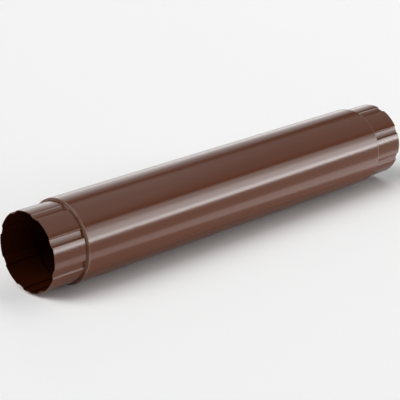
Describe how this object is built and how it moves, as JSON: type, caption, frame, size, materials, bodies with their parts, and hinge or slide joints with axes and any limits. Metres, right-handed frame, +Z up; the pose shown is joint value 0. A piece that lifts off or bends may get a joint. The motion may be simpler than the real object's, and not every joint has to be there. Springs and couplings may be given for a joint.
{
  "type": "round metal downpipe",
  "caption": "Short length of round metal downpipe in dark brown coated sheet steel, with a drawn-in, fluted spigot at each end that pushes into the next fitting.",
  "frame": {"origin": "on the floor, under the middle of the barrel", "axes": "+X along the pipe, +Z up, with the lock seam on the underside"},
  "size_m": [0.592, 0.1, 0.1],
  "materials": {
    "coated_steel": "glossy"
  },
  "bodies": {
    "root": {"downpipe": "coated_steel"}
  },
  "joints": []
}
